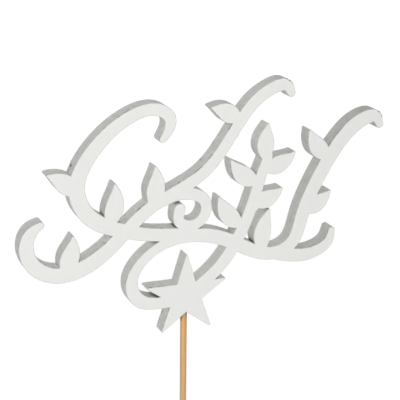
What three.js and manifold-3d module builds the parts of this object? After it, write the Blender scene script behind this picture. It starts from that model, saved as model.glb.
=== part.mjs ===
// A cake topper: an openwork ornament with a star, cut from one painted board, on a round skewer.
//
// The board is one piece. Its scrollwork is a set of pen strokes, each a smooth centre line with a
// swelling width, plus pointed leaves and a five-pointed star, all cut through the same board.
// The star has a blind hole drilled up into the notch between its two lower points, and the skewer
// is glued into that hole.
//
// Millimetres. +Z is up along the skewer, +X is to the right as seen from the front, and the front
// of the board faces -Y. The origin is the skewer's point, on its axis.

import * as THREE from "three";
import { mergeVertices } from "three/addons/utils/BufferGeometryUtils.js";
import Module from "manifold-3d";

const wasm = await Module();
wasm.setup();

// Driving dimensions of the board
const BOARD_THICKNESS = 6.4; // a 6 mm board with primer and paint on both faces
const EDGE_CHAMFER = 0.3; // the sanded arris round both faces
const CHORD_ERROR = 0.02; // how far a straight facet may leave its curve
const LONGEST_FACET = 2.4;
const SHORTEST_FACET = 0.35;
const FINE_STEP = 0.2; // the spacing at which a centre line is followed

// Driving dimensions of the star
const STAR_RADIUS = 17.2;
const STAR_NOTCH_RADIUS = 6.35;
const STAR_POINTS = 5;
const STAR_TIP_ROUNDING = 0.55;

// Driving dimensions of the skewer and its hole
const SKEWER_DIAMETER = 2.5;
const SKEWER_FREE_LENGTH = 130; // from the point to the mouth of the hole
const SKEWER_POINT_LENGTH = 9;
const SKEWER_POINT_FLAT = 0.5; // the point is cut off to this diameter
const SKEWER_TOP_CHAMFER = 0.25;
const HOLE_DEPTH = 12; // straight wall, from the star's notch
const HOLE_CLEARANCE = 0.1; // all round the skewer, filled by glue
const HOLE_END_CLEARANCE = 0.3; // from the skewer's end to the end of the straight wall
const DRILL_POINT_ANGLE = 118;
const ROUND_SIDES = 32;

// The star's centre is the datum of the board's drawing: u to the right, v up, in grid squares
const STAR_CENTRE_HEIGHT = SKEWER_FREE_LENGTH + STAR_NOTCH_RADIUS;
const GRID = 1;

// The pen strokes: each knot is a point of the centre line, then the pen's width there in millimetres.
const STROKES = {
  upper_scroll: [
    [-9.2, 60.6, 2.8], [-7, 64, 3.8], [-6.6, 68, 4.4], [-11, 71.4, 4.6], [-22.2, 69.2, 4.8], [-35, 58.5, 5.4],
    [-41, 45, 5.9], [-36, 34.4, 5.9], [-25, 28.6, 5.4], [-12, 25.4, 5], [0, 24.2, 4.8], [10, 21.8, 4.2],
  ],
  long_stem: [
    [-54.2, 33.8, 2.8], [-57.2, 31.8, 4.2], [-59.4, 26.8, 5.2], [-57.2, 19.4, 5.6], [-49.2, 14.7, 5.8],
    [-38, 16.7, 6], [-27, 24.4, 5.4], [-16, 34.4, 5], [-4, 41, 4.8], [6, 46.6, 4.6], [13, 54, 4.5],
    [18.8, 62.5, 4.6], [25.5, 71.1, 4.8], [33, 76, 4.8], [38.2, 76.7, 4.4], [40.3, 73.6, 3.2],
  ],
  volute: [
    [-12, 36.6, 4.4], [-1, 39.8, 4.6], [7.2, 35.4, 4.4], [4, 28, 4.2], [-2.8, 29.2, 4.2], [-2.8, 34, 4.4],
  ],
  star_loop: [
    [-4, -1.2, 4.8], [-12, -1.2, 4.7], [-18.4, 0.9, 5.2], [-21.3, 7.4, 4.6], [-15.7, 17.2, 3.8],
    [-4, 22.8, 4.4], [8, 22.8, 5.4], [20, 18, 5.4], [33, 12.6, 5.2], [42.3, 15.6, 5.4], [46.4, 26, 5.6],
    [53, 41, 5.8], [62.5, 55.2, 6], [70.6, 61.4, 5.8], [75.8, 61.9, 4.8], [77.7, 58.8, 3.2],
  ],
  tail: [
    [29, 13.8, 3.6], [38, 11.6, 5], [47, 10.2, 5.2], [53.4, 11.2, 4.8], [58, 14.4, 4], [59.2, 18.6, 2.8],
  ],
  right_sprig: [
    [4, 2.8, 4.6], [12.7, 9.6, 5], [19.2, 18.4, 5], [25.2, 31.2, 4.8], [28.6, 42, 4.4], [31.6, 50.5, 3.8],
  ],
};

// The leaves: each runs from its foot on a stroke to its tip, and bow bends it to one side, as a
// share of its length.
const LEAF_WIDTH = 7;
const LEAF_TIP_WIDTH = 1.2;
const LEAVES = [
  { foot: [22, 25], tip: [12.6, 36.6], bow: 0.1 },
  { foot: [25.6, 33.4], tip: [37.4, 37.6], bow: -0.1 },
  { foot: [28.2, 41], tip: [17.2, 50], bow: 0.1 },
  { foot: [30, 46], tip: [42.2, 51], bow: -0.1 },
  { foot: [31, 49], tip: [31.4, 62.4], bow: 0.05 },
  { foot: [30.6, 13.2], tip: [32.6, 29.6], bow: 0.08 },
  { foot: [47, 28], tip: [57.6, 34.4], bow: -0.08 },
  { foot: [57, 47.6], tip: [48.4, 58.6], bow: 0.08 },
  { foot: [-30, 30.4], tip: [-27, 45.6], bow: -0.08 },
  { foot: [-14, 36], tip: [-12, 50.4], bow: -0.08 },
  { foot: [-40.7, 43], tip: [-51, 51.4], bow: -0.08 },
  { foot: [-47, 15], tip: [-42.6, 28], bow: -0.08 },
  { foot: [20, 64.4], tip: [9.4, 70.4], bow: -0.08 },
];

// A point of the drawing in millimetres.
function drawn([u, v]) {
  return new THREE.Vector2(u, v).multiplyScalar(GRID);
}

// A natural cubic spline through the values at the given parameters.
function naturalSpline(t, y) {
  const last = t.length - 1;
  const upper = new Array(last + 1).fill(0);
  const moment = new Array(last + 1).fill(0);
  for (let i = 1; i < last; i++) {
    const before = t[i] - t[i - 1];
    const after = t[i + 1] - t[i];
    const pivot = 2 * (before + after) - before * upper[i - 1];
    const bend = 6 * ((y[i + 1] - y[i]) / after - (y[i] - y[i - 1]) / before);
    upper[i] = after / pivot;
    moment[i] = (bend - before * moment[i - 1]) / pivot;
  }
  for (let i = last - 1; i > 0; i--) moment[i] -= upper[i] * moment[i + 1];
  return (s) => {
    let i = 0;
    while (i < last - 1 && s > t[i + 1]) i++;
    const h = t[i + 1] - t[i];
    const a = t[i + 1] - s;
    const b = s - t[i];
    const cubic = (moment[i] * a ** 3 + moment[i + 1] * b ** 3) / (6 * h);
    return cubic + (y[i] / h - (moment[i] * h) / 6) * a + (y[i + 1] / h - (moment[i + 1] * h) / 6) * b;
  };
}

// The centre line of a pen stroke as a three.js curve, with the pen's width along it.
class CentreLine extends THREE.Curve {
  constructor(knots) {
    super();
    const points = knots.map(drawn);
    const t = [0];
    for (let i = 1; i < points.length; i++) t.push(t[i - 1] + points[i].distanceTo(points[i - 1]) ** 0.8);
    this.span = t[t.length - 1];
    this.u = naturalSpline(t, points.map((point) => point.x));
    this.v = naturalSpline(t, points.map((point) => point.y));
    this.width = naturalSpline(t, knots.map((knot) => knot[2]));
    this.arcLengthDivisions = 60 * knots.length;
  }
  getPoint(s, target = new THREE.Vector2()) {
    return target.set(this.u(s * this.span), this.v(s * this.span));
  }
  getWidthAt(share) {
    return this.width(this.getUtoTmapping(share) * this.span);
  }
}

// One side of a pen stroke, from its start to its end: side is 1 for its left and -1 for its right.
function strokeSide(line, width, side) {
  const fine = Math.ceil(line.getLength() / FINE_STEP);
  const points = [];
  for (let i = 0; i <= fine; i++) {
    const centre = line.getPointAt(i / fine);
    const along = line.getTangentAt(i / fine);
    const half = (side * width(i / fine)) / 2;
    points.push(new THREE.Vector2(centre.x - along.y * half, centre.y + along.x * half));
  }
  return faceted(points);
}

// The fewest of a line's points whose straight facets stay within the chord error of all of them.
function faceted(points) {
  let from = points.at(0);
  let passed = [];
  const kept = [from];
  for (const point of points) {
    const facet = point.clone().sub(from);
    const length = facet.length();
    const leaves = passed.some((p) => Math.abs(facet.cross(p.clone().sub(from))) > CHORD_ERROR * length);
    if (length > SHORTEST_FACET && (leaves || length > LONGEST_FACET)) {
      from = passed.at(-1);
      kept.push(from);
      passed = [];
    }
    passed.push(point);
  }
  const last = points.at(-1);
  if (from.distanceTo(last) < SHORTEST_FACET) kept.pop();
  return [...kept, last];
}

// The outline of a pen stroke: both sides of its centre line, with a round end at each tip.
function strokeShape(line, width) {
  return new THREE.Shape([
    ...strokeSide(line, width, -1),
    ...roundEnd(line.getPointAt(1), line.getTangentAt(1), width(1) / 2),
    ...strokeSide(line, width, 1).reverse(),
    ...roundEnd(line.getPointAt(0), line.getTangentAt(0).negate(), width(0) / 2),
  ]);
}

// The points between the two sides of a half circle that faces along out, from its right to its left.
function roundEnd(centre, out, radius) {
  const steps = Math.ceil(Math.PI / (2 * Math.acos(1 - CHORD_ERROR / radius)));
  const facing = out.angle();
  const points = [];
  for (let i = 1; i < steps; i++) {
    const angle = facing - Math.PI / 2 + (Math.PI * i) / steps;
    points.push(new THREE.Vector2(centre.x + radius * Math.cos(angle), centre.y + radius * Math.sin(angle)));
  }
  return points;
}

// A scroll drawn through its knots, its width changing smoothly along it.
function scrollShape(knots) {
  const line = new CentreLine(knots);
  return strokeShape(line, (share) => line.getWidthAt(share));
}

// A pointed leaf along a bowed centre line, fullest a little below its middle.
function leafShape({ foot, tip, bow }) {
  const start = drawn(foot);
  const end = drawn(tip);
  const along = end.clone().sub(start);
  const middle = start.clone().lerp(end, 0.5).addScaledVector(new THREE.Vector2(-along.y, along.x), 2 * bow);
  const line = new THREE.QuadraticBezierCurve(start, middle, end);
  return strokeShape(line, (s) => LEAF_TIP_WIDTH + (LEAF_WIDTH - LEAF_TIP_WIDTH) * Math.sin(Math.PI * s ** 0.85));
}

// A regular star with slightly rounded tips and sharp notches.
function starShape() {
  const shape = new THREE.Shape();
  const corner = (i) => {
    const radius = i % 2 ? STAR_NOTCH_RADIUS : STAR_RADIUS;
    const angle = Math.PI / 2 + (Math.PI * i) / STAR_POINTS;
    return new THREE.Vector2(radius * Math.cos(angle), radius * Math.sin(angle));
  };
  for (let i = 0; i < 2 * STAR_POINTS; i += 2) {
    const tip = corner(i);
    const before = corner(i + 2 * STAR_POINTS - 1);
    const after = corner(i + 1);
    const arrive = before.clone().sub(tip).normalize();
    const leave = after.clone().sub(tip).normalize();
    const halfAngle = Math.acos(arrive.dot(leave)) / 2;
    const back = STAR_TIP_ROUNDING / Math.tan(halfAngle);
    const start = tip.clone().addScaledVector(arrive, back);
    const end = tip.clone().addScaledVector(leave, back);
    if (i === 0) shape.moveTo(start.x, start.y);
    else shape.lineTo(start.x, start.y);
    shape.quadraticCurveTo(tip.x, tip.y, end.x, end.y);
    shape.lineTo(after.x, after.y);
  }
  return shape;
}

// The closed solid of a geometry.
function solidOf(geometry) {
  const bare = geometry.index ? geometry.toNonIndexed() : geometry.clone();
  bare.deleteAttribute("normal");
  bare.deleteAttribute("uv");
  const merged = mergeVertices(bare, 1e-4);
  return new wasm.Manifold(
    new wasm.Mesh({
      numProp: 3,
      vertProperties: new Float32Array(merged.attributes.position.array),
      triVerts: new Uint32Array(merged.index.array),
    }),
  );
}

// A three.js geometry of a solid.
function geometryOf(solid) {
  const mesh = solid.getMesh();
  const geometry = new THREE.BufferGeometry();
  geometry.setAttribute("position", new THREE.BufferAttribute(new Float32Array(mesh.vertProperties), 3));
  geometry.setIndex(new THREE.BufferAttribute(new Uint32Array(mesh.triVerts), 1));
  geometry.computeVertexNormals();
  return geometry;
}

// A shape of the drawing cut through the board, with its arrises eased.
function cutThroughBoard(shape) {
  const geometry = new THREE.ExtrudeGeometry(shape, {
    depth: BOARD_THICKNESS - 2 * EDGE_CHAMFER,
    bevelEnabled: EDGE_CHAMFER > 0,
    bevelThickness: EDGE_CHAMFER,
    bevelSize: EDGE_CHAMFER,
    bevelOffset: -EDGE_CHAMFER,
    bevelSegments: 1,
    curveSegments: 4,
  });
  geometry.translate(0, 0, EDGE_CHAMFER - BOARD_THICKNESS / 2);
  geometry.rotateX(Math.PI / 2);
  geometry.translate(0, 0, STAR_CENTRE_HEIGHT);
  return solidOf(geometry);
}

// A solid turned about the skewer's axis, from a closed profile of [radius, height] points.
function turned(profile) {
  return new THREE.LatheGeometry(
    profile.map(([radius, height]) => new THREE.Vector2(radius, height)),
    ROUND_SIDES,
  ).rotateX(Math.PI / 2);
}

const skewerRadius = SKEWER_DIAMETER / 2;
const holeRadius = skewerRadius + HOLE_CLEARANCE;
const holeTop = SKEWER_FREE_LENGTH + HOLE_DEPTH;
const skewerTop = holeTop - HOLE_END_CLEARANCE;
const drillPointHeight = holeRadius / Math.tan(THREE.MathUtils.degToRad(DRILL_POINT_ANGLE / 2));

// The drill's path: it starts below the notch, where the slanted edges of the star's legs begin.
function drilledHole() {
  const start = STAR_CENTRE_HEIGHT - STAR_RADIUS;
  return solidOf(
    turned([
      [0, start],
      [holeRadius, start],
      [holeRadius, holeTop],
      [0, holeTop + drillPointHeight],
    ]),
  );
}

function boardGeometry() {
  const shapes = [...Object.values(STROKES).map(scrollShape), ...LEAVES.map(leafShape), starShape()];
  const pieces = shapes.map(cutThroughBoard);
  const whole = pieces.reduce((sum, piece) => sum.add(piece));
  return geometryOf(whole.subtract(drilledHole()));
}

function skewerGeometry() {
  return turned([
    [0, 0],
    [SKEWER_POINT_FLAT / 2, 0],
    [skewerRadius, SKEWER_POINT_LENGTH],
    [skewerRadius, skewerTop - SKEWER_TOP_CHAMFER],
    [skewerRadius - SKEWER_TOP_CHAMFER, skewerTop],
    [0, skewerTop],
  ]);
}

const painted = new THREE.MeshStandardMaterial({ color: 0xe9eae6, roughness: 0.6, metalness: 0 });
const bamboo = new THREE.MeshStandardMaterial({ color: 0xd7a56a, roughness: 0.65, metalness: 0 });

function part(name, geometry, material) {
  const mesh = new THREE.Mesh(geometry, material);
  mesh.name = name;
  return mesh;
}

const topper = new THREE.Group();
topper.add(part("ornament_board", boardGeometry(), painted));
topper.add(part("skewer", skewerGeometry(), bamboo));

export default topper;
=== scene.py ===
"""A cake topper: a painted openwork scroll-and-leaf board with a star, on a bamboo skewer.

Metres, in the part's own frame: +Z up along the skewer from its point, the board's front faces -Y.
"""
import math

import bmesh
import bpy
from mathutils import Matrix, Vector


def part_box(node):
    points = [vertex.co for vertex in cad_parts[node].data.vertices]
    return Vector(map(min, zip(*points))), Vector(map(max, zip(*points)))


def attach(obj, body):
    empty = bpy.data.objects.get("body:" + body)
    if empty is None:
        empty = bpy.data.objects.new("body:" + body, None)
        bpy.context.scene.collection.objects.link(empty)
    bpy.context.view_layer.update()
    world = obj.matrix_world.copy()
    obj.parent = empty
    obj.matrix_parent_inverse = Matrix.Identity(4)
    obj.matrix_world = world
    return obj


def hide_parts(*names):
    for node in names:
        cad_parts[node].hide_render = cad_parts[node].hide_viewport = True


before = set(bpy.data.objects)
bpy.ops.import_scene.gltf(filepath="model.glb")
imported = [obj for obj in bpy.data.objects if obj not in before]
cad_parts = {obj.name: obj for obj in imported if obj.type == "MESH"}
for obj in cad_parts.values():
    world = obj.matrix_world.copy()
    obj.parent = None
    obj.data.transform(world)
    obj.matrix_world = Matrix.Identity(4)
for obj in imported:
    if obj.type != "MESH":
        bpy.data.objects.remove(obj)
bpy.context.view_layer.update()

MM = 0.001
WHITE = (1, 1, 1, 1)
BLACK = (0, 0, 0, 1)

# The photograph's camera
VIEW_AZIMUTH = math.radians(22)
VIEW_ELEVATION = math.radians(18)
VIEW_ROLL = math.radians(0.65)
CAMERA_PLACE = Vector((-148.1, -381.7, 305.8)) * MM
CAMERA_LENS_MM = 107.1
CAMERA_CLIP_START = 10 * MM
SENSOR_MM = 36

# The board's mesh
BOARD_HALF_THICKNESS = 3.2 * MM
ARRIS_WIDTH = 0.3 * MM
WELD_DISTANCE = 0.0005 * MM
FLAT_BELOW = math.radians(0.5)
SMOOTH_BELOW = math.radians(50)

# The skewer's mesh
SKEWER_RADIUS = 1.25 * MM
SKEWER_POINT_LENGTH = 9 * MM
SKEWER_POINT_RADIUS = 0.25 * MM
SKEWER_POINT_STEPS = 6
SKEWER_POINT_FULLNESS = 0.9  # 1 is a straight cone, and less is a fuller one
SKEWER_SIDES = 48
SKEWER_RING_STEP = 1.5 * MM
SKEWER_WAVINESS = 0.01 * MM
# Each wave in its surface: waves round it, radians per metre along it, and height in parts of the waviness
SKEWER_WAVES = ((3, 20, 1.0), (7, -33, 0.6), (1, 90, 0.4))

# Small chips in the paint of the cut edges and arrises: place and radius in millimetres
CHIPS = (
    ((-41.5, 1.0, 189.4), 0.95),
    ((-41.9, 1.2, 188.1), 0.85),
    ((78.8, 2.2, 200.1), 0.7),
    ((40.8, 2.4, 213.7), 0.6),
    ((40.75, -3.1, 213.4), 0.55),
    ((40.0, -3.1, 214.25), 0.45),
    ((39.15, -3.1, 214.85), 0.5),
    ((38.1, -3.1, 215.3), 0.4),
    ((78.5, -3.1, 198.5), 0.55),
    ((77.8, -3.1, 199.4), 0.45),
    ((77.0, -3.2, 200.0), 0.45),
)
CHIP_CORE = 0.6  # the share of a chip's radius that is quite bare
CHIP_RAGGEDNESS = 1.2 * MM

# Painted shade: the board gets darker towards the right-hand arm, between these two places along X
RIGHT_SHADE_FROM = 28 * MM
RIGHT_SHADE_TO = 66 * MM
FACE_RIGHT_SHADE = 0.04
EDGE_RIGHT_SHADE = 0.17

# Paint colours, as a duller and a paler end where there are two
FACE_PAINT = ((0.80, 0.81, 0.78, 1), (0.84, 0.845, 0.82, 1))
EDGE_PAINT = ((0.69, 0.69, 0.66, 1), (0.82, 0.825, 0.795, 1))
# Dark mottled patches on the cut edges, gathered into the painted shade towards the right-hand arm
DARK_PATCH = (0.30, 0.30, 0.26, 1)
RUBBED_PAINT = (0.30, 0.285, 0.25, 1)
BARE_BOARD = (0.15, 0.125, 0.105, 1)
# Painted shade in the tightest corners of the cut
CORNER_SHADE = (0.10, 0.10, 0.085, 1)

# Noises in the paint: scale per metre, detail and, in some, roughness
FACE_CLOUD = (22, 3)
BLOTCHES = (520, 4, 0.65)
CUT_MARKS = (900, 3, 0.6)
PATCHES = (260, 3, 0.6)
SPECKS = (560, 3, 0.6)
HANDLING = (45, 2)
CHIP_RIMS = (900, 2.0)
ROLLER_MARKS = (1100, 3, 0.55)
SHEEN = (160, 3)

# Where each effect of the paint starts and where it is full, in the value that drives it
EDGE_FACING = (0.5, 0.9)
CORE_DEPTH = (0.5 * MM, 2.6 * MM)
TONE_SPAN = (0.36, 0.6)
PATCH_SPAN = (0.5, 0.66)
ARRIS_DEPTH = (0.8 * MM, BOARD_HALF_THICKNESS - ARRIS_WIDTH)
HANDLED_SPAN = (0.48, 0.58)
RUBBED_SPAN = (0.66, 0.73)
# Painted shade in tight corners: the span of openness over which it fades in
CORNER_SHADE_SPAN = (0.15, 0.48)

# How strong each effect of the paint is
BLOTCH_SHARE = 0.7
CUT_MARK_SHARE = 0.3
CUT_MARK_STRETCH = 0.08
CORE_DULLNESS = 0.04
PATCH_STRENGTH = 0.32
ARRIS_WEAR = 0.14
RUBBED_STRENGTH = 0.6
# How far the painted shade in tight corners looks for closed-in space
CORNER_SHADE_REACH = 2.6 * MM
ROLLER_BUMP = (0.22, 0.05 * MM)
CHIP_RELIEF = 0.8
EDGE_BUMP_STRENGTH = 0.6
EDGE_BUMP_DEPTH = 0.15 * MM
PAINT_ROUGHNESS = (0.64, 0.74)
EDGE_EXTRA_ROUGHNESS = 0.08

# Bamboo colours, as a darker and a paler end where there are two
WARM_BAMBOO = ((0.60, 0.30, 0.085, 1), (0.76, 0.47, 0.19, 1))
PALE_BAMBOO = ((0.58, 0.37, 0.19, 1), (0.75, 0.54, 0.32, 1))
FIBRE = (0.36, 0.19, 0.07, 1)
# Painted shadow on the skewer just below the board's hole
ENTRY_SHADOW = (0.11, 0.075, 0.045, 1)

# Noises in the bamboo: stretch along the skewer, then scale per metre, detail and, in one, roughness
LONG_FIBRES = (0.012, 2600, 4, 0.65)
BROAD_STREAKS = (0.02, 800, 2)
COLOUR_DRIFT = (0.35, 40, 2)

# Where each effect of the bamboo starts and ends, and how strong it is
STREAK_SPAN = (0.34, 0.66)
DRIFT_HEIGHT = 20 * MM
PALE_BELOW = (60 * MM, 130 * MM)
FIBRE_SPAN = (0.52, 0.68)
FIBRE_STRENGTH = 0.5
# Painted shadow on the skewer below the board: its reach, span and strength
ENTRY_SHADOW_REACH = 4 * MM
ENTRY_SHADOW_SPAN = (0.56, 0.8)
ENTRY_SHADOW_STRENGTH = 0.9
BAMBOO_ROUGHNESS = (0.5, 0.72)
BAMBOO_BUMP = (0.5, 0.06 * MM)

# Both materials
MIDDLE_OF_NOISE = (0.3, 0.7)
SPECULAR_LEVEL = 0.4
SHADE_SAMPLES = 8

# The studio. The floor's own white grows with distance, because the lamps light it less there.
WORLD_LIGHT = 0.36
FLOOR_SIZE = 6
FLOOR_COLOUR = (0.8, 0.8, 0.8, 1)
FLOOR_ROUGHNESS = 0.9
FLOOR_NEAR = 0.6
FLOOR_FAR = 1.8
FLOOR_OWN_WHITE_NEAR = 0.52
FLOOR_OWN_WHITE_FAR = 0.7

# Each lamp: name, place, diameter and watts. All are aimed at one spot in the ornament.
LAMPS = (
    ("key", (-0.3, -1.15, 0.42), 0.7, 8.05),
    ("back_fill", (0.0, 3.0, 0.6), 1.0, 39.7),
    ("side_fill", (2.0, 0.2, 0.45), 0.8, 5.5),
)
LAMP_TARGET = (0.01, 0, 0.17)


def add_object(name, data):
    obj = bpy.data.objects.new(name, data)
    bpy.context.scene.collection.objects.link(obj)
    return obj


def piece_from(mesh, name, body="root"):
    obj = add_object(name, mesh)
    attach(obj, body)
    return obj


# Materials

class Nodes:
    """A small helper that adds nodes to a material and wires them."""

    def __init__(self, name):
        self.material = bpy.data.materials.new(name)
        self.material.use_nodes = True
        self.tree = self.material.node_tree
        self.shader = self.tree.nodes["Principled BSDF"]

    def feed(self, value, socket):
        """Link a socket to a node's input, or set the input to a plain value."""
        if isinstance(value, bpy.types.NodeSocket):
            self.tree.links.new(value, socket)
        else:
            socket.default_value = value

    def add(self, kind, inputs=None, **settings):
        node = self.tree.nodes.new(kind)
        for key, value in settings.items():
            setattr(node, key, value)
        for key, value in (inputs or {}).items():
            self.feed(value, node.inputs[key])
        return node

    def set(self, key, value):
        self.feed(value, self.shader.inputs[key])

    def math(self, operation, a, b=0.0):
        return self.add("ShaderNodeMath", {0: a, 1: b}, operation=operation).outputs[0]

    def product(self, first, *others):
        for value in others:
            first = self.math("MULTIPLY", first, value)
        return first

    def vector(self, operation, a, b):
        node = self.add("ShaderNodeVectorMath", {0: a, 1: b}, operation=operation)
        return node.outputs["Value" if operation == "DISTANCE" else "Vector"]

    def axis(self, vector, index):
        return self.add("ShaderNodeSeparateXYZ", {0: vector}).outputs[index]

    def coordinates(self, scale=(1, 1, 1)):
        source = self.add("ShaderNodeTexCoord").outputs["Object"]
        return self.add("ShaderNodeMapping", {"Vector": source, "Scale": scale}).outputs[0]

    def noise(self, vector, scale, detail=2.0, roughness=0.5, output="Fac"):
        inputs = {"Vector": vector, "Scale": scale, "Detail": detail, "Roughness": roughness}
        return self.add("ShaderNodeTexNoise", inputs).outputs[output]

    def range(self, value, low, high, to_low=0.0, to_high=1.0, smooth=False):
        inputs = {"Value": value, "From Min": low, "From Max": high}
        inputs.update({"To Min": to_low, "To Max": to_high})
        kind = "SMOOTHSTEP" if smooth else "LINEAR"
        return self.add("ShaderNodeMapRange", inputs, interpolation_type=kind).outputs[0]

    def mix(self, factor, a, b):
        # Inputs 6 and 7 and output 2 of the mix node are its two colours and their mixture
        node = self.add("ShaderNodeMix", data_type="RGBA")
        for index, value in ((0, factor), (6, a), (7, b)):
            self.feed(value, node.inputs[index])
        return node.outputs[2]

    def bump(self, height, strength, distance, normal=None):
        inputs = {"Height": height, "Strength": strength, "Distance": distance}
        if normal is not None:
            inputs["Normal"] = normal
        return self.add("ShaderNodeBump", inputs).outputs[0]

    def openness(self, reach, only_local=False):
        """The share of open space round a point, out to the reach given."""
        settings = {"samples": SHADE_SAMPLES, "only_local": only_local}
        return self.add("ShaderNodeAmbientOcclusion", {"Distance": reach}, **settings).outputs["AO"]


def chip_mask(n, place):
    """1 inside the chips of the paint, with ragged rims."""
    offset = n.vector("SUBTRACT", n.noise(place, *CHIP_RIMS, output="Color"), (0.5,) * 3)
    ragged_place = n.vector("ADD", place, n.vector("MULTIPLY", offset, (CHIP_RAGGEDNESS,) * 3))
    chips = 0.0
    for centre, radius_mm in CHIPS:
        radius = radius_mm * MM
        away = n.vector("DISTANCE", ragged_place, Vector(centre) * MM)
        chips = n.math("MAXIMUM", chips, n.range(away, CHIP_CORE * radius, radius, 1.0, 0.0))
    return chips


def painted_board_material():
    """Matte white paint: smooth on the faces, blotchy on the cut edges, rubbed and chipped in places, with
    painted shade in tight corners and towards the right-hand arm.
    """
    n = Nodes("painted_board")
    place = n.coordinates()
    facing = n.axis(n.add("ShaderNodeTexCoord").outputs["Normal"], 1)
    edge = n.range(n.math("ABSOLUTE", facing), *EDGE_FACING, 1.0, 0.0)
    depth = n.math("ABSOLUTE", n.axis(place, 1))

    # Faces: a faint cloudiness in the coat
    face_colour = n.mix(n.noise(place, *FACE_CLOUD), *FACE_PAINT)

    # Cut edges: millimetre blotches, short marks across the edge, and a duller core between the two faces
    blotches = n.math("MULTIPLY", n.noise(place, *BLOTCHES), BLOTCH_SHARE)
    cut_marks = n.noise(n.coordinates((1, CUT_MARK_STRETCH, 1)), *CUT_MARKS)
    soaked = n.math("ADD", blotches, n.math("MULTIPLY", cut_marks, CUT_MARK_SHARE))
    core = n.range(depth, *CORE_DEPTH, CORE_DULLNESS, 0.0, smooth=True)
    tone = n.range(n.math("SUBTRACT", soaked, core), *TONE_SPAN)
    colour = n.mix(edge, face_colour, n.mix(tone, *EDGE_PAINT))

    # Painted shade: darker towards the right-hand arm, a little on the faces and more on the cut edges,
    # where dark mottled patches also gather
    right_shade_mask = n.range(n.axis(place, 0), RIGHT_SHADE_FROM, RIGHT_SHADE_TO)
    right_shade = n.math("MULTIPLY", right_shade_mask, n.range(edge, 0, 1, FACE_RIGHT_SHADE, EDGE_RIGHT_SHADE))
    colour = n.mix(right_shade, colour, BLACK)
    patches = n.range(n.noise(place, *PATCHES), *PATCH_SPAN)
    colour = n.mix(n.product(patches, right_shade_mask, edge, PATCH_STRENGTH), colour, DARK_PATCH)

    # Paint rubbed thin in small specks on the cut edges, mostly near the arrises and where it was handled
    near_arris = n.range(depth, *ARRIS_DEPTH, 0.0, ARRIS_WEAR, smooth=True)
    specks = n.range(n.math("ADD", n.noise(place, *SPECKS), near_arris), *RUBBED_SPAN)
    handled = n.range(n.noise(place, *HANDLING), *HANDLED_SPAN)
    rubbed = n.product(specks, handled, edge, RUBBED_STRENGTH)
    colour = n.mix(rubbed, colour, RUBBED_PAINT)

    # Chips that show the brown board
    chips = chip_mask(n, place)
    colour = n.mix(chips, colour, BARE_BOARD)

    # Painted shade in the tightest corners of the cut, darker the more closed in they are
    corner_shade_mask = n.range(n.openness(CORNER_SHADE_REACH, only_local=True), *CORNER_SHADE_SPAN, 1.0, 0.0)
    colour = n.mix(n.math("MULTIPLY", corner_shade_mask, edge), colour, CORNER_SHADE)
    n.set("Base Color", colour)

    # Relief: roller marks everywhere, and a rougher cut edge that is sunk where the paint is worn
    face_bump = n.bump(n.noise(place, *ROLLER_MARKS), *ROLLER_BUMP)
    worn = n.math("MULTIPLY", n.math("MAXIMUM", chips, rubbed), CHIP_RELIEF)
    edge_strength = n.math("MULTIPLY", edge, EDGE_BUMP_STRENGTH)
    relief = n.math("SUBTRACT", soaked, worn)
    n.set("Normal", n.bump(relief, edge_strength, EDGE_BUMP_DEPTH, face_bump))

    sheen = n.range(n.noise(place, *SHEEN), *MIDDLE_OF_NOISE, *PAINT_ROUGHNESS)
    n.set("Roughness", n.math("ADD", sheen, n.math("MULTIPLY", edge, EDGE_EXTRA_ROUGHNESS)))
    n.set("Specular IOR Level", SPECULAR_LEVEL)
    return n.material


def bamboo_material():
    """Bare bamboo: long fibres and streaks, warm near the board, paler lower down, with a painted shadow
    where it enters the board's hole.
    """
    n = Nodes("bamboo")

    def along_skewer(stretch, *noise):
        return n.noise(n.coordinates((1, 1, stretch)), *noise)

    long_fibres = along_skewer(*LONG_FIBRES)
    streaks = n.range(along_skewer(*BROAD_STREAKS), *STREAK_SPAN)
    height = n.axis(n.coordinates(), 2)
    drift = n.range(along_skewer(*COLOUR_DRIFT), 0, 1, -DRIFT_HEIGHT, DRIFT_HEIGHT)
    lower = n.range(n.math("ADD", height, drift), *PALE_BELOW, 1.0, 0.0, smooth=True)
    colour = n.mix(lower, n.mix(streaks, *WARM_BAMBOO), n.mix(streaks, *PALE_BAMBOO))
    colour = n.mix(n.range(long_fibres, *FIBRE_SPAN, 0.0, FIBRE_STRENGTH), colour, FIBRE)
    # Painted shadow on the skewer where it goes into the board
    entry_shadow_mask = n.range(n.openness(ENTRY_SHADOW_REACH), *ENTRY_SHADOW_SPAN, ENTRY_SHADOW_STRENGTH, 0.0)
    n.set("Base Color", n.mix(entry_shadow_mask, colour, ENTRY_SHADOW))
    n.set("Roughness", n.range(long_fibres, *MIDDLE_OF_NOISE, *BAMBOO_ROUGHNESS))
    n.set("Normal", n.bump(long_fibres, *BAMBOO_BUMP))
    n.set("Specular IOR Level", SPECULAR_LEVEL)
    return n.material


# The board: the frame's own mesh, welded, with its small chamfer shaded as a rounded arris

def build_board():
    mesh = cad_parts["ornament_board"].data.copy()
    mesh.name = "board_mesh"
    bm = bmesh.new()
    bm.from_mesh(mesh)
    bmesh.ops.remove_doubles(bm, verts=bm.verts, dist=WELD_DISTANCE)
    bmesh.ops.dissolve_limit(bm, angle_limit=FLAT_BELOW, verts=bm.verts, edges=bm.edges)
    for face in bm.faces:
        face.smooth = True
    for edge in bm.edges:
        edge.smooth = edge.is_manifold and edge.calc_face_angle() < SMOOTH_BELOW
    bm.to_mesh(mesh)
    bm.free()
    board = piece_from(mesh, "board")
    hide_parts("ornament_board")
    mesh.materials.clear()
    mesh.materials.append(painted_board_material())
    weighted = board.modifiers.new("arris", "WEIGHTED_NORMAL")
    weighted.mode = "FACE_AREA"
    weighted.keep_sharp = True


# The skewer: a slightly uneven round rod with a cut point

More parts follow.
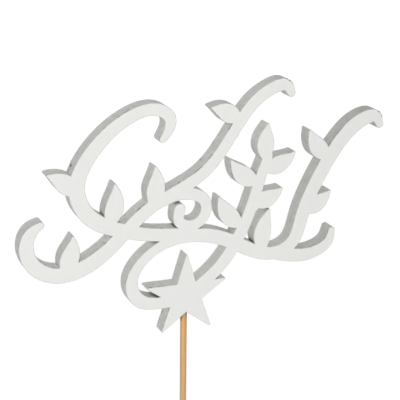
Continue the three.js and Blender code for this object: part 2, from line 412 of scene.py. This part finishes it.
def skewer_heights(top):
    """The heights of the skewer's rings: close together in its point, then up its shaft."""
    steps = SKEWER_POINT_STEPS
    heights = [SKEWER_POINT_LENGTH * i / steps for i in range(steps)]
    heights.append(SKEWER_POINT_LENGTH)
    shaft = top - SKEWER_POINT_LENGTH
    rings = int(shaft / SKEWER_RING_STEP)
    return heights + [SKEWER_POINT_LENGTH + shaft * (i + 1) / rings for i in range(rings)]


def skewer_ring(bm, z):
    """The vertices of the skewer's ring at height z."""
    share = min(z / SKEWER_POINT_LENGTH, 1.0)
    swell = (SKEWER_RADIUS - SKEWER_POINT_RADIUS) * share ** SKEWER_POINT_FULLNESS
    ring = []
    for side in range(SKEWER_SIDES):
        angle = 2 * math.pi * side / SKEWER_SIDES
        wave = sum(size * math.sin(around * angle + along * z) for around, along, size in SKEWER_WAVES)
        radius = SKEWER_POINT_RADIUS + swell + SKEWER_WAVINESS * share * wave
        ring.append(bm.verts.new((radius * math.cos(angle), radius * math.sin(angle), z)))
    return ring


def build_skewer():
    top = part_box("skewer")[1].z
    bm = bmesh.new()
    rings = [skewer_ring(bm, z) for z in skewer_heights(top)]
    for below, above in zip(rings, rings[1:]):
        for side in range(SKEWER_SIDES):
            after = (side + 1) % SKEWER_SIDES
            bm.faces.new((below[side], below[after], above[after], above[side]))
    bm.faces.new(list(reversed(rings[0])))
    bm.faces.new(rings[-1])
    for face in bm.faces:
        face.smooth = len(face.verts) == 4
    mesh = bpy.data.meshes.new("skewer_mesh")
    bm.to_mesh(mesh)
    bm.free()
    rod = piece_from(mesh, "skewer_rod")
    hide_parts("skewer")
    mesh.materials.append(bamboo_material())


# Stage

def seen_directly(tree):
    """1 for rays from the camera, or seen in a reflection or through glass, and 0 for light."""
    path = tree.nodes.new("ShaderNodeLightPath")
    total = path.outputs["Is Camera Ray"]
    for name in ("Is Glossy Ray", "Is Transmission Ray"):
        add = tree.nodes.new("ShaderNodeMath")
        add.operation = "MAXIMUM"
        tree.links.new(total, add.inputs[0])
        tree.links.new(path.outputs[name], add.inputs[1])
        total = add.outputs[0]
    return total


def build_world():
    world = bpy.data.worlds.new("studio")
    bpy.context.scene.world = world
    world.use_nodes = True
    tree = world.node_tree
    background = tree.nodes["Background"]
    background.inputs["Color"].default_value = WHITE
    strength = tree.nodes.new("ShaderNodeMapRange")
    strength.inputs["To Min"].default_value = WORLD_LIGHT
    strength.inputs["To Max"].default_value = 1.0
    tree.links.new(seen_directly(tree), strength.inputs["Value"])
    tree.links.new(strength.outputs[0], background.inputs["Strength"])


def floor_material():
    n = Nodes("pale_floor")
    n.set("Base Color", FLOOR_COLOUR)
    n.set("Roughness", FLOOR_ROUGHNESS)
    n.set("Emission Color", WHITE)
    place = n.add("ShaderNodeTexCoord").outputs["Object"]
    away = n.add("ShaderNodeVectorMath", {0: place}, operation="LENGTH").outputs["Value"]
    own_white = n.range(away, FLOOR_NEAR, FLOOR_FAR, FLOOR_OWN_WHITE_NEAR, FLOOR_OWN_WHITE_FAR)
    n.set("Emission Strength", n.math("MULTIPLY", seen_directly(n.tree), own_white))
    return n.material


def build_floor():
    bm = bmesh.new()
    bmesh.ops.create_grid(bm, x_segments=1, y_segments=1, size=FLOOR_SIZE)
    mesh = bpy.data.meshes.new("floor_mesh")
    bm.to_mesh(mesh)
    bm.free()
    mesh.materials.append(floor_material())
    floor = add_object("floor", mesh)


def add_lamp(name, place, diameter, watts):
    data = bpy.data.lights.new(name, "AREA")
    data.shape = "DISK"
    data.size = diameter
    data.energy = watts
    lamp = add_object(name, data)
    lamp.location = place
    aim = Vector(LAMP_TARGET) - Vector(place)
    lamp.rotation_euler = aim.to_track_quat("-Z", "Y").to_euler()


def build_camera():
    forward = Vector((
        math.sin(VIEW_AZIMUTH) * math.cos(VIEW_ELEVATION),
        math.cos(VIEW_AZIMUTH) * math.cos(VIEW_ELEVATION),
        -math.sin(VIEW_ELEVATION),
    ))
    level_right = Vector((math.cos(VIEW_AZIMUTH), -math.sin(VIEW_AZIMUTH), 0))
    level_up = level_right.cross(forward)
    right = math.cos(VIEW_ROLL) * level_right + math.sin(VIEW_ROLL) * level_up
    up = -math.sin(VIEW_ROLL) * level_right + math.cos(VIEW_ROLL) * level_up
    data = bpy.data.cameras.new("camera")
    data.lens = CAMERA_LENS_MM
    data.sensor_width = SENSOR_MM
    data.clip_start = CAMERA_CLIP_START
    camera = add_object("camera", data)
    camera.matrix_world = Matrix((
        (right.x, up.x, -forward.x, CAMERA_PLACE.x),
        (right.y, up.y, -forward.y, CAMERA_PLACE.y),
        (right.z, up.z, -forward.z, CAMERA_PLACE.z),
        (0, 0, 0, 1),
    ))
    bpy.context.scene.camera = camera


bpy.context.scene.view_settings.view_transform = "Standard"
build_camera()
build_board()
build_skewer()
build_world()
build_floor()
for lamp_values in LAMPS:
    add_lamp(*lamp_values)

bpy.context.view_layer.update()
